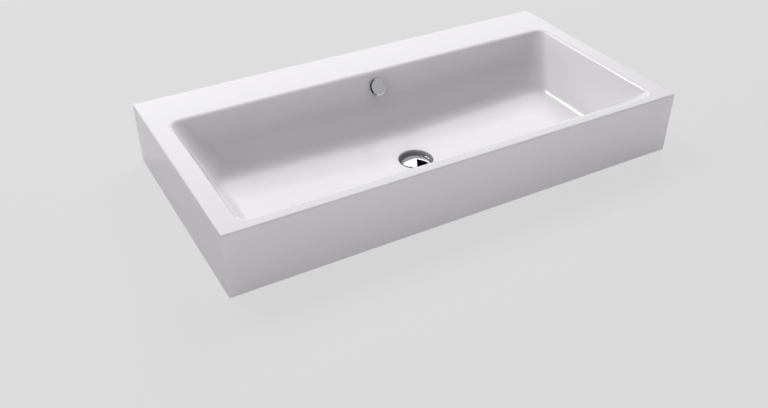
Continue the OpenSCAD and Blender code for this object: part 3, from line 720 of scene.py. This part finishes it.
white_plastic = moulded("white_acetal", (0.74, 0.74, 0.71), (0.80, 0.80, 0.775), 0.3)
grey_plastic = moulded("grey_polypropylene", (0.30, 0.31, 0.32), (0.36, 0.37, 0.38), 0.38)

tool_rate = 14000  # radians a metre: marks of the turning tool every 0.45 mm
tree, brass, where = patterned_finish("turned_brass")
z = by_axis(tree, where)[2]
rings = sin(z * tool_rate)
tarnish = noise(tree, where, scale=120.0, detail=3.0)
show(tree, tree.add("ShaderNodeBsdfPrincipled", {}, {
    "Base Color": blend(tree, tarnish, (0.58, 0.40, 0.15), (0.72, 0.54, 0.25)),
    "Metallic": 1.0, "Roughness": 0.22 + 0.12 * noise(tree, where, scale=300.0),
    "Normal": bump(tree, rings, strength=0.2, depth=0.00005)}))

tree, steel, where = patterned_finish("satin_stainless_steel")
drawn = tree.add("ShaderNodeMapping", {}, {"Vector": where, "Scale": (60.0, 900.0, 900.0)})
lines = noise(tree, drawn, scale=1.0, detail=3.0)
show(tree, tree.add("ShaderNodeBsdfPrincipled", {}, {
    "Base Color": blend(tree, lines, (0.56, 0.57, 0.58), (0.68, 0.69, 0.70)), "Metallic": 1.0,
    "Roughness": 0.22 + 0.2 * lines, "Normal": bump(tree, lines, strength=0.1, depth=0.00006)}))

dress(white_plastic, "cartridge_body", "cartridge_plunger")
dress(grey_plastic, "cartridge_cover", "cartridge_rotor")
dress(steel, "cartridge_spring", "overflow_screw")
dress(brass, "cap_stud")


# The waste cap: a domed brass cap with a rolled edge, hollow underneath, with a groove for its seal and
# a boss for the stud. It is polished and chrome plated.
crown, crown_fall, edge_r, shell_t = 5.1, 3.709, 28.954, 1.8


def dome(r):
    """The height of the cap's top at a distance from its middle."""
    return crown - crown_fall * (r / edge_r) ** 4


cap_top = [(0, crown)] + [(edge_r * k / 32, dome(edge_r * k / 32)) for k in range(1, 33)]
roll_r, roll_z = 28.5, 0.5
roll = [(roll_r + math.sin(math.radians(a)), roll_z + math.cos(math.radians(a))) for a in range(34, 90, 7)]
under = filleted([(29.5, 0.5, 0), (29.5, -1.5, 0.4), (27.5, -1.5, 0.2), (27.5, 0, 0), (23.5, 0, 0),
                  (23.5, -1.5, 0.2), (22, -1.5, 0)])
hollow_r, boss_r = 22, 5.95
inwards = [hollow_r - (hollow_r - boss_r) * k / 16 for k in range(1, 17)]
hollow = [(r, dome(r) - shell_t) for r in inwards]
boss = [(boss_r, -3.6), (5.55, -4), (3.0, -4), (3.0, 3.3), (0, 3.3)]
cap = made("waste_cap_dome", turned(cap_top + roll + under + hollow + boss, columns=128),
           at=at_waste, finish=chrome)
settle(smoothed(cap), "cap", "chrome", "waste_cap")


# The overflow collar: a moulded acetal chamber round the tail, with one spigot towards the wall. The
# slip washer below it is polypropylene.
chamber = filleted([(21.35, -12.5, 0.3), (30, -12.5, 1.5), (30, -44.5, 1.5), (21.35, -44.5, 0.3),
                    (21.35, -41.5, 0.3), (27, -41.5, 1.0), (27, -15.5, 1.0), (21.35, -15.5, 0.3)])
spigot_z = -0.0295
rearwards = Matrix.Rotation(-quarter_turn, 4, "X")
to_wall = Matrix.Translation((0, 0, spigot_z)) @ rearwards
spigot = turned(filleted([(0, 25, 0), (12.6, 25, 0), (12.6, 31.0, 0.9), (11, 31.4, 0.3), (11, 47, 0.8),
                          (0, 47, 0)]))
bore = rod(8.5, low=20, high=48)
core = rod(27, low=-42, high=-15)
branch = made("collar_spigot", (*spigot, to_wall), at=at_waste, finish=white_plastic)
branch = worked(branch, made("collar_core", core, at=at_waste, finish=white_plastic))
collar = worked(made("collar_chamber", turned(chamber), at=at_waste, finish=white_plastic), branch, "UNION")
collar = worked(collar, made("collar_bore", (*bore, to_wall), at=at_waste, finish=white_plastic))
settle(smoothed(collar), "basin", "white_plastic", "overflow_collar")
dress(grey_plastic, "slip_washer")


# The backnut: turned from hexagonal brass bar, with chamfered corners and a round washer face, and left
# bare. It draws the waste, the basin and the collar together on the tail's thread.
def hexagon(corner_r):
    """The six corners of a hexagon."""
    return [(corner_r * math.cos(k * math.pi / 3), corner_r * math.sin(k * math.pi / 3)) for k in range(6)]


profile = filleted([(21.0, -57.9, 0), (21.6, -58.5, 0), (27.3, -58.5, 0.3), (31.3, -56.3, 0.3),
                    (31.3, -52.2, 0.3), (28.2, -50.5, 0), (26.9, -50.5, 0.3), (26.9, -48.5, 0.4),
                    (21.0, -48.5, 0.3)])
nut = made("waste_backnut", turned(profile, columns=144), at=at_waste, finish=brass)
nut = worked(nut, made("hex_stock", sawn(hexagon(31.177), -60, -47), at=at_waste, finish=brass), "INTERSECT")
settle(smoothed(nut, 20), "basin", "brass", "backnut")


# The overflow set: a moulded elbow behind the wall and its gasket, a plated rosette on the enamel, and
# a polished cover that snaps on its hub and stands clear of the wall, so that water enters behind it.
dress(white_plastic, "overflow_elbow")
dress(chrome, "overflow_rosette")
face_r, face_z, sag = 14.2, 6.0, 0.1
edge_round, edge_z = 2.8, 3.1
edge_turns = [math.radians(a) for a in range(6, 91, 6)]
face = [(0, face_z)] + [(face_r * k / 12, face_z - sag * (k / 12) ** 2) for k in range(1, 13)]
edge = [(face_r + edge_round * math.sin(a), edge_z + edge_round * math.cos(a)) for a in edge_turns]
behind = filleted([(17.0, edge_z, 0), (16.7, 3.0, 0), (6.25, 3.0, 0.2), (6.25, 1.5, 0.3), (5.05, 1.5, 0.2),
                   (5.05, 3.3, 0)])
cover = made("overflow_cover", turned(face + edge + behind[1:] + [(0, 3.3)], columns=128),
             at=at_overflow, finish=chrome)
settle(smoothed(cover), "basin", "chrome", "overflow_cap")


# The overflow hose: ribbed polypropylene with a smooth cuff at each end, pushed over the elbow's spigot
# and the collar's, with one wide bend between them.
hose_ribs = 36
hose_sizes = {
    "Drop": 0.021337, "Bend": 0.057, "Level Run": 0.069265, "Start Y": 0.135765, "Start Z": 0.048837,
    "Rib Radius": 0.0128, "Root Radius": 0.0114, "Bore Radius": 0.0096,
}


def ribbed_form(tree, size):
    """The hose's skin as one net: rows run along the outside, then back along the bore."""
    outer_rows, bore_rows, columns = hose_ribs * 8, 90, 49
    net = tree.add("GeometryNodeMeshGrid", {}, {
        "Vertices X": outer_rows + bore_rows + 3, "Vertices Y": columns}, out="Mesh")
    index = tree.add("GeometryNodeInputIndex")
    row = (index / columns).maths("FLOOR")
    round_turn = (index - row * columns) * (2 * math.pi / (columns - 1))

    arc = size["Bend"] * quarter_turn
    length = size["Drop"] + arc + size["Level Run"]
    out = (row / outer_rows).within(0, 1)
    back = ((row - (outer_rows + 1)) / bore_rows).within(0, 1)
    along = length * (out - back)
    inside = (row - outer_rows).within(0, 1) - (row - (outer_rows + bore_rows + 1)).within(0, 1)

    wave = 0.5 - 0.5 * cos(along * (2 * math.pi * hose_ribs) / length)
    skin = size["Root Radius"] + (size["Rib Radius"] - size["Root Radius"]) * wave.eased()
    radius = skin + (size["Bore Radius"] - skin) * inside

    turn = ((along - size["Drop"]) / size["Bend"]).within(0, quarter_turn)
    run = (along - size["Drop"] - arc).maths("MAXIMUM", 0)
    drop = along.maths("MINIMUM", size["Drop"])
    forward, across = radius * sin(round_turn), radius * cos(round_turn)
    y = size["Start Y"] - size["Bend"] * (1 - cos(turn)) - run + forward * cos(turn)
    z = size["Start Z"] - drop - size["Bend"] * sin(turn) - forward * sin(turn)
    at = tree.add("ShaderNodeCombineXYZ", {}, {"X": across, "Y": y, "Z": z})
    net = tree.add("GeometryNodeSetPosition", {}, {"Geometry": net, "Position": at})
    return tree.add("GeometryNodeMergeByDistance", {}, {"Geometry": net, "Distance": weld_gap})


def joined(name, *pieces):
    """Several pieces of one finish as one mesh, with every face pointing outwards."""
    net = bmesh.new()
    for piece in pieces:
        net.from_mesh(piece.data)
    bmesh.ops.recalc_face_normals(net, faces=net.faces)
    mesh = bpy.data.meshes.new(name)
    net.to_mesh(mesh)
    net.free()
    mesh.materials.append(pieces[0].data.materials[0])
    for piece in pieces:
        bpy.data.objects.remove(piece)
    return placed(name, mesh)


cuff = turned(filleted([(11.05, 0, 0.3), (12.9, 0, 0.5), (13.15, 1.5, 0.3), (13.15, 18, 0.6),
                        (11.05, 18, 0.4)]))
upper_cuff_z, lower_cuff_y = 0.047337, -0.007
upper_cuff = (*cuff, Matrix.Translation((0, hose_sizes["Start Y"], upper_cuff_z)))
lower_cuff = (*cuff, Matrix.Translation((0, lower_cuff_y, spigot_z)) @ rearwards)
hose = joined("ribbed_hose", grown("hose_ribs", ribbed_form, hose_sizes, grey_plastic),
              made("hose_cuffs", upper_cuff, lower_cuff, finish=grey_plastic))
settle(smoothed(hose, 50), "basin", "grey_plastic", "overflow_hose")


# The hose clips: a stainless band with rounded edges, a pressed saddle welded on it, and a worm screw
# with a slotted hexagon head that draws the band tight.
band = turned(filleted([(13.2, -4.5, 0.25), (13.2, 4.5, 0.25), (14.1, 4.5, 0.4), (14.1, -4.5, 0.4)]))
saddle_face = filleted([(-4.4, 13.6, 0.2), (-4.4, 15.0, 0.6), (-3.1, 16.0, 0.8), (-3.1, 20.8, 2.9),
                        (3.1, 20.8, 2.9), (3.1, 16.0, 0.8), (4.4, 15.0, 0.6), (4.4, 13.6, 0.2)])
sideways = Matrix.Rotation(quarter_turn, 4, "Y")
screw_line = Matrix.Translation((0, 0.0177, 0)) @ sideways
screw_bore = rod(2.25, low=-8, high=8, columns=48)
worm_r, head_r = 2.2, 3.5
worm_wall = fine_wall(worm_r, -5.6, 5.0, 64)
worm = turned([(0, -6), (1.8, -6), *worm_wall, (worm_r, 5.2), (0, 5.2)],
              thread(worm_r, [(-5.7, 5.1)], depth=0.7, pitch=1.6), columns=48)
head_cone = turned([(0, 5.1), (head_r, 5.1), (head_r, 7.5), (2.9, 8.0), (0, 8.0)], columns=48)
driver = sawn([(-0.5, -4), (0.5, -4), (0.5, 4), (-0.5, 4)], 6.9, 9)


def clip_at(label, place):
    """A clip's band and saddle, and its screw, at one end of the hose."""
    saddle = made("saddle", (*sawn(saddle_face, -5, 5), sideways), at=place, finish=steel)
    saddle = worked(saddle, made("saddle_bore", (*screw_bore, screw_line), at=place, finish=steel))
    strap = worked(made(label + "_band", band, at=place, finish=steel), saddle, "UNION")
    head = made("head", (*head_cone, screw_line), at=place, finish=steel)
    hex_bar = (*sawn(hexagon(head_r), 5, 9), screw_line)
    head = worked(head, made("hex", hex_bar, at=place, finish=steel), "INTERSECT")
    head = worked(head, made("driver", (*driver, screw_line), at=place, finish=steel))
    return strap, head, made("worm", (*worm, screw_line), at=place, finish=steel)


upper_clip_z, lower_clip_y = 0.057337, 0.001
upper_place = Matrix.Translation((0, hose_sizes["Start Y"], upper_clip_z))
lower_place = Matrix.Translation((0, lower_clip_y, spigot_z)) @ rearwards
screws = []
for label, place in (("upper_hose_clip", upper_place), ("lower_hose_clip", lower_place)):
    strap, *screw = clip_at(label, place)
    settle(smoothed(strap), "basin", "steel", label)
    screws += screw
screws = joined("worm_screws", *screws)
settle(smoothed(screws), "basin", "steel", "clip_screws")

low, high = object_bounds()
